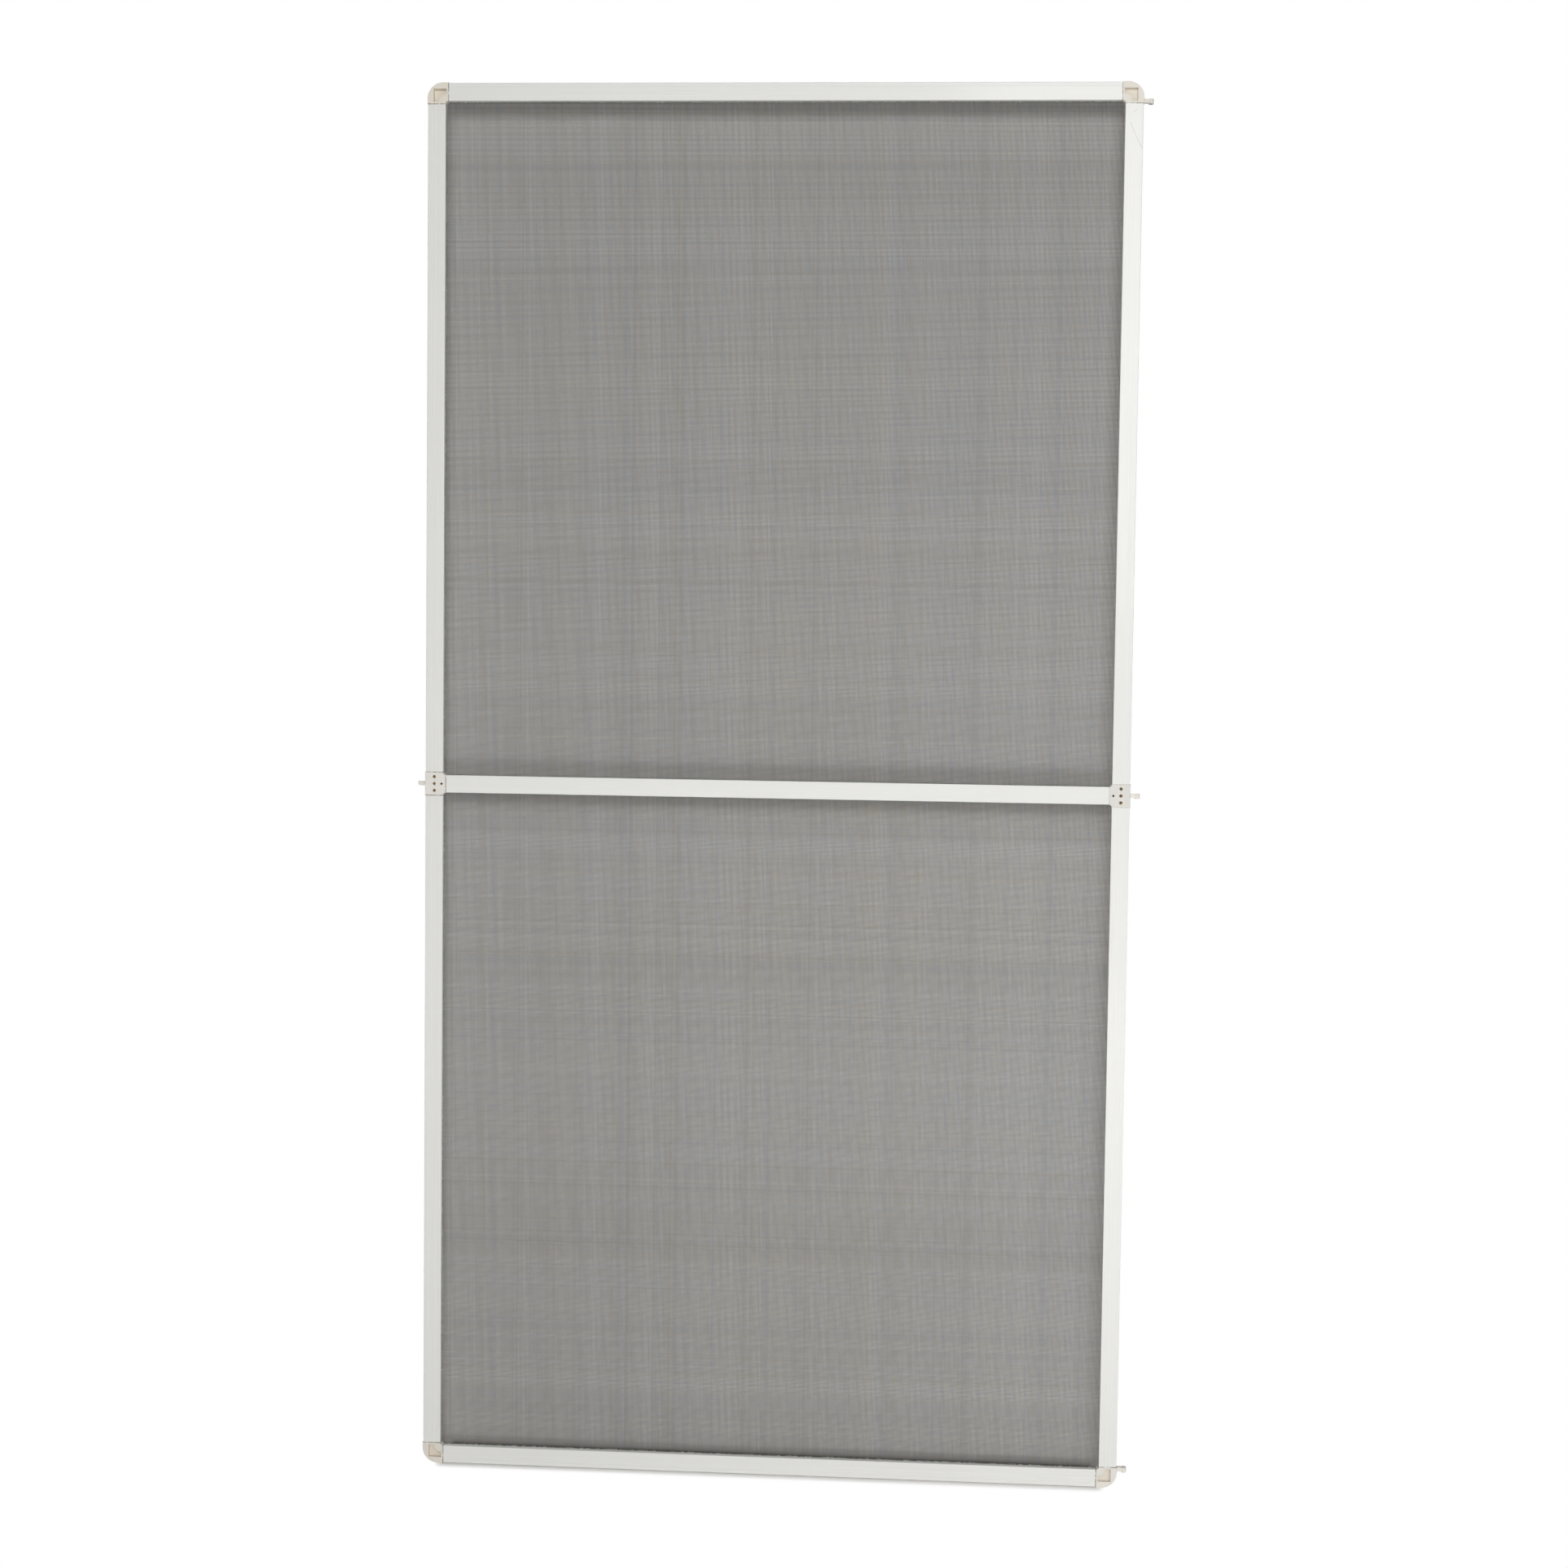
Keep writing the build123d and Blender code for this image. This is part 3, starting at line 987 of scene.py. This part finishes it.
@dataclass
class WovenCloth:
    """The insect cloth: straight coated threads in two fused layers, turned into the groove all round."""

    node: str = "insect_mesh"
    seat: str = "mid_rail"
    pitch: float = 1.27 * MM
    width: float = 0.36 * MM
    thickness: float = 0.30 * MM
    sink: float = 0.08 * MM
    warp_parts: int = 8
    weft_parts: int = 6
    seed: int = 41
    slow_steps: Drift = Drift(0.035, 14)
    quick_steps: Drift = Drift(0.05, 2)
    step_limits: tuple[float, float] = (0.6, 1.4)
    wander: Drift = Drift(0.10 * MM, 12)
    girth: Drift = Drift(0.05, 2)
    girth_spread: float = 0.06
    girth_limits: tuple[float, float] = (0.7, 1.3)
    tone: Drift = Drift(0.20, 3)
    tone_spread: float = 0.22

    def spaced(self, rng: np.random.Generator, low: float, high: float) -> np.ndarray:
        """Where the threads of one layer cross the cloth: equal steps, each a little wider or narrower.

        Args:
            rng: the seeded source.
            low: the cloth's lower edge.
            high: its upper edge.

        Returns:
            One place for each thread.
        """
        first, last = low + self.width / 2, high - self.width / 2
        gaps = int(round((last - first) / self.pitch))
        steps = 1.0 + drifting(rng, gaps, self.slow_steps) + drifting(rng, gaps, self.quick_steps)
        walked = np.concatenate([[0.0], np.cumsum(np.clip(steps, *self.step_limits))])
        return first + (last - first) * walked / walked[-1]

    def layer(
        self,
        rng: np.random.Generator,
        places: np.ndarray,
        ends: tuple[float, float],
        depths: tuple[float, float],
        parts: int,
    ) -> tuple[np.ndarray, np.ndarray, np.ndarray]:
        """One layer of threads: a four-cornered section carried along a run with a leg at each end.

        The run is (depth, along): tip, bend, equal parts, bend, tip. Each section's corners stand off the
        run by half a width to the sides and half a thickness along the run's normal, which is mitred at the
        bends.

        Args:
            rng: the seeded source.
            places: where each thread crosses the cloth.
            ends: the run's two ends.
            depths: the depth of the run, and of the legs' tips.
            parts: how many parts the run has.

        Returns:
            Vertices as side, depth and along, by thread, run point and corner; faces; and a UV pair for each
            corner of a face.
        """
        half = self.thickness / 2
        bends = (ends[0] + half, ends[1] - half)
        along = np.concatenate([bends[:1], np.linspace(*bends, parts + 1), bends[1:]])
        depth = np.concatenate([depths[1:], np.full(parts + 1, depths[0]), depths[1:]])
        points = len(along)
        normal_depth = np.ones(points)
        normal_depth[[0, -1]] = 0.0
        normal_along = np.zeros(points)
        normal_along[[0, 1]] = -1.0
        normal_along[[-2, -1]] = 1.0
        count = len(places)
        drift = np.stack([drifting(rng, count, self.wander) for _ in range(points)], axis=1)
        drift[:, [0, 1, -2, -1]] = 0.0
        side = np.clip(places[:, None] + drift, places[0], places[-1])
        stout = 1.0 + drifting(rng, count, self.girth) + self.girth_spread * rng.normal(size=count)
        stout[[0, -1]] = 1.0
        to_side = np.array([1.0, 0.0, -1.0, 0.0]) * self.width / 2
        to_normal = np.array([0.0, 1.0, 0.0, -1.0]) * half
        shape = (count, points, 4)
        vertices = np.stack(
            [
                side[:, :, None] + np.clip(stout, *self.girth_limits)[:, None, None] * to_side,
                np.broadcast_to(depth[:, None] + normal_depth[:, None] * to_normal, shape),
                np.broadcast_to(along[:, None] + normal_along[:, None] * to_normal, shape),
            ],
            axis=-1,
        )
        index = np.arange(np.prod(shape)).reshape(shape)
        turned = np.roll(index, -1, axis=2)
        walls = np.stack([index[:, :-1], turned[:, :-1], turned[:, 1:], index[:, 1:]], axis=-1)
        caps = np.stack([index[:, 0, ::-1], index[:, -1]], axis=1)
        faces = np.concatenate([walls.reshape(-1, 4), caps.reshape(-1, 4)])
        return vertices, faces, self.unwrapped(count, points)

    def unwrapped(self, count: int, points: int) -> np.ndarray:
        """A layer's UVs: u goes along the run, and v goes round the section, in a strip for each thread.

        Args:
            count: how many threads the layer has.
            points: how many points a run has.

        Returns:
            One pair for each corner of each wall face, then of each cap.
        """
        travel = np.linspace(0.01, 0.99, points)
        row = (np.arange(count)[:, None] + 0.1 + 0.8 * np.arange(5)[None, :] / 4) / count
        start, stop = travel[:-1, None], travel[1:, None]
        lower, upper = row[:, None, :-1], row[:, None, 1:]
        shape = (count, points - 1, 4)
        u = np.stack([np.broadcast_to(at, shape) for at in (start, start, stop, stop)], axis=-1)
        v = np.stack([np.broadcast_to(at, shape) for at in (lower, upper, upper, lower)], axis=-1)
        cap_u = np.broadcast_to(travel[[0, -1], None], (count, 2, 4))
        cap_v = np.broadcast_to(row[:, None, :4], (count, 2, 4))
        walls = np.stack([u, v], axis=-1)
        caps = np.stack([cap_u, cap_v], axis=-1)
        return np.concatenate([walls.reshape(-1, 2), caps.reshape(-1, 2)])

    def tones(self, rng: np.random.Generator, layer: np.ndarray) -> np.ndarray:
        """Each thread's own tone, from 0, cool, to 1, warm.

        Args:
            rng: the seeded source.
            layer: the layer's vertices, by thread, run point and corner.

        Returns:
            One tone for each vertex.
        """
        count = len(layer)
        tone = MIDDLE + drifting(rng, count, self.tone) + self.tone_spread * rng.normal(size=count)
        return np.repeat(np.clip(tone, 0.0, 1.0), layer[0, ..., 0].size)

    def build(self) -> bpy.types.Object:
        """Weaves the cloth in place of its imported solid.

        Returns:
            The cloth.
        """
        rng = np.random.default_rng(self.seed)
        low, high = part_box(self.node)
        front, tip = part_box(self.seat)[1].y, low.y
        warp_depth = front + self.thickness / 2
        weft_depth = warp_depth + self.thickness - self.sink
        warp = self.spaced(rng, low.x, high.x)
        weft = self.spaced(rng, low.z, high.z)
        upright, upright_faces, upright_uv = self.layer(
            rng, warp, (low.z, high.z), (warp_depth, tip), self.warp_parts
        )
        level, level_faces, level_uv = self.layer(
            rng, -weft[::-1], (low.x, high.x), (weft_depth, tip), self.weft_parts
        )
        level = level[..., [2, 1, 0]] * np.array([1.0, 1.0, -1.0])
        points = np.concatenate([upright.reshape(-1, 3), level.reshape(-1, 3)])
        faces = np.concatenate([upright_faces, level_faces + upright[..., 0].size])
        share = len(warp) / (len(warp) + len(weft))
        uv = np.concatenate([upright_uv * (1, share), level_uv * (1, 1 - share) + (0, share)])
        cloth = new_piece("insect_cloth", points, faces, uv)
        tones = np.concatenate([self.tones(rng, layer) for layer in (upright, level)])
        tone = cloth.data.attributes.new(THREAD_TONE, "FLOAT", "POINT")
        tone.data.foreach_set("value", tones.astype(np.float32))
        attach(cloth, BODY)
        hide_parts(self.node)
        LOG.info("insect_cloth woven: %d warp and %d weft threads", len(warp), len(weft))
        return cloth

    def dress(self, cloth: bpy.types.Object, edges: tuple[Seam, ...]) -> None:
        """Gives the cloth its thread finish, with painted shade along the profiles' inner sides."""
        paint(cloth, CoatedThread(edges).material("grey_thread"))


@dataclass
class SplineCords:
    """The four lengths of ribbed vinyl cord that hold the cloth in its groove."""

    names: tuple[str, ...] = ("spline_top", "spline_bottom", "spline_left", "spline_right")
    ribs: int = 9
    rib_depth: float = 0.10
    around: int = 54
    parts: int = 3
    weld: float = 0.001 * MM

    def ribbed(self, low: Vector, high: Vector) -> tuple[np.ndarray, np.ndarray]:
        """A ribbed rod that fills a box, carried along the box's longest side.

        At the angle a, its radius is R (1 - d (1 - |cos(n a / 2)|)), with n ribs of the depth d.

        Args:
            low: the box's lowest corner.
            high: its highest corner.

        Returns:
            Vertices and four-cornered faces; each end is closed by a ring of faces to its centre.
        """
        lows, highs = np.array(low), np.array(high)
        run = int(np.argmax(highs - lows))
        first, second = (run + 1) % 3, (run + 2) % 3
        middle = (lows + highs) / 2
        radius = (highs - lows)[first] / 2
        angle = np.arange(self.around) * 2 * math.pi / self.around
        rib = radius * (1 - self.rib_depth * (1 - np.abs(np.cos(self.ribs * angle / 2))))
        tips = (lows[run], highs[run])
        along = np.concatenate([tips[:1], np.linspace(*tips, self.parts + 1), tips[1:]])
        reach = np.concatenate([[0.0], np.ones(self.parts + 1), [0.0]])
        points = np.zeros((len(along), self.around, 3))
        points[..., run] = along[:, None]
        points[..., first] = middle[first] + reach[:, None] * rib * np.cos(angle)
        points[..., second] = middle[second] + reach[:, None] * rib * np.sin(angle)
        index = np.arange(points[..., 0].size).reshape(points.shape[:2])
        turned = np.roll(index, -1, axis=1)
        faces = np.stack([index[:-1], turned[:-1], turned[1:], index[1:]], axis=-1)
        return points.reshape(-1, 3), faces.reshape(-1, 4)

    def build(self) -> list[bpy.types.Object]:
        """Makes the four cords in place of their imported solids.

        Returns:
            The cords.
        """
        cords = []
        for name in self.names:
            points, faces = self.ribbed(*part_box(name))
            cord = new_piece(f"{name}_cord", points, faces)
            cord.modifiers.new("weld", "WELD").merge_threshold = self.weld
            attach(cord, BODY)
            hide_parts(name)
            cords.append(cord)
            LOG.info("%s made", cord.name)
        return cords

    def dress(self, cords: list[bpy.types.Object]) -> None:
        """Gives the cords their vinyl."""
        vinyl = VinylCord().material("spline_vinyl")
        for cord in cords:
            paint(cord, vinyl)


# Stage, light and camera.


@dataclass
class Studio:
    """A pale floor, a pale wall close behind the leaf, and wide soft light from the front and the rear."""

    high: Vector
    gap: float = 30.0 * MM
    wall_half: float = 3.0
    wall_top: float = 4.0
    reach: float = 30.0
    edge: float = 14.0 * MM
    ambient: float = 0.05
    lamps: tuple[Lamp, ...] = (
        Lamp("upper", (0.3, -3.4, 2.7), (0.0, 0.0, 1.3), (2.6, 1.5), 83.5, Glow.SOFT),
        Lamp("lower", (0.65, -1.5, 0.25), (0.1, 0.0, 0.8), (2.4, 0.4), 13.0, Glow.SOFT),
        Lamp("window", (1.45, -4.5, 2.6), (1.45, 0.0, 2.6), (2.3, 2.6), 56.0, Glow.MIRRORED),
        Lamp("rear", (-1.5, 3.5, 2.6), (0.0, 0.0, 1.0), (2.0, 2.0), 32.0, Glow.FULL),
    )

    def quad(self, name: str, corners: list[tuple[float, float, float]]) -> bpy.types.Object:
        """A staged four-cornered sheet.

        Args:
            name: the sheet's name.
            corners: its corners in order.

        Returns:
            The sheet.
        """
        made = new_piece(name, np.array(corners), np.array([[0, 1, 2, 3]]))
        made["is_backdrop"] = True
        return made

    def build(self) -> None:
        """Sets up the floor, the wall, the world and the lamps."""
        far = self.reach
        floor = self.quad("floor", [(-far, -far, 0), (far, -far, 0), (far, far, 0), (-far, far, 0)])
        paint(floor, StagePaint(*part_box("bottom_rail")).material("floor_paint"))
        half, top, back = self.wall_half, self.wall_top, self.high.y + self.gap
        wall = self.quad("wall", [(-half, back, 0), (half, back, 0), (half, back, top), (-half, back, top)])
        low = Vector((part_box("left_stile_upper")[0].x + self.edge, back, 0.0))
        high = Vector((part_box("right_stile_upper")[1].x - self.edge, back, self.high.z - self.edge))
        paint(wall, WallPaint(low, high).material("wall_paint"))
        self.world()
        for lamp in self.lamps:
            self.hang(lamp)

    def world(self) -> None:
        """Even soft light from all round, seen as plain white."""
        world = bpy.data.worlds.new("soft_surround")
        bpy.context.scene.world = world
        tree = FinishTree(world)
        soft = tree.add("ShaderNodeBackground", None, {"Color": WHITE, "Strength": self.ambient})
        white = tree.add("ShaderNodeBackground", None, {"Color": WHITE, "Strength": 1.0})
        tree.add("ShaderNodeOutputWorld", None, {"Surface": tree.mix(tree.seen(), soft, white)})

    def hang(self, lamp: Lamp) -> None:
        """Adds a lamp to the scene.

        Args:
            lamp: the lamp.
        """
        data = bpy.data.lights.new(lamp.name, "AREA")
        data.shape = "RECTANGLE"
        data.size, data.size_y = lamp.size
        data.energy = lamp.power
        made = bpy.data.objects.new(lamp.name, data)
        made.location = lamp.place
        made.rotation_euler = (Vector(lamp.aim) - Vector(lamp.place)).to_track_quat("-Z", "Y").to_euler()
        made.visible_camera = False
        made.visible_diffuse, made.visible_glossy = lamp.glow.value
        bpy.context.scene.collection.objects.link(made)


@dataclass
class PhotoCamera:
    """The photograph's camera, fitted to the leaf's outline, joints and visible inner sides.

    The focal length and the centre are in pixels of the frame, and the roll is in degrees.
    """

    place: Colour = (0.2301, -2.2825, 1.1976)
    aim: Colour = (0.1253, 0.0, 1.1109)
    roll: float = 0.7987
    focal: float = 2000.0
    centre: tuple[float, float] = (1066.0, 866.0)
    frame: int = 1932
    sensor: float = 36.0
    clip: tuple[float, float] = (0.05, 100.0)

    def build(self) -> bpy.types.Object:
        """Makes the camera and gives it to the scene.

        Returns:
            The camera.
        """
        data = bpy.data.cameras.new("photo_camera")
        data.sensor_width = self.sensor
        data.lens = self.focal / self.frame * self.sensor
        data.shift_x = 0.5 - self.centre[0] / self.frame
        data.shift_y = self.centre[1] / self.frame - 0.5
        data.clip_start, data.clip_end = self.clip
        made = bpy.data.objects.new("photo_camera", data)
        forward = (Vector(self.aim) - Vector(self.place)).normalized()
        turn = Quaternion(forward, math.radians(-self.roll)) @ forward.to_track_quat("-Z", "Y")
        made.rotation_mode = "QUATERNION"
        made.location, made.rotation_quaternion = self.place, turn
        bpy.context.scene.collection.objects.link(made)
        bpy.context.scene.camera = made
        return made


def main() -> None:
    """Builds and dresses the leaf, the stage and the camera."""
    logging.basicConfig(level=logging.INFO, format="%(name)s: %(message)s")
    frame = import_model()
    cad_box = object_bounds()
    bpy.context.scene.view_settings.view_transform = "Standard"
    bars = BarFrame(frame["nodes"])
    bars.dress()
    Mouldings(frame["nodes"]).dress()
    cloth = WovenCloth()
    sides = {seam for name in BARS for seam in bars.inner(name)}
    cloth.dress(cloth.build(), tuple(sorted(sides)))
    cords = SplineCords()
    cords.dress(cords.build())
    Studio(cad_box[1]).build()
    PhotoCamera().build()


if __name__ == "__main__":
    main()
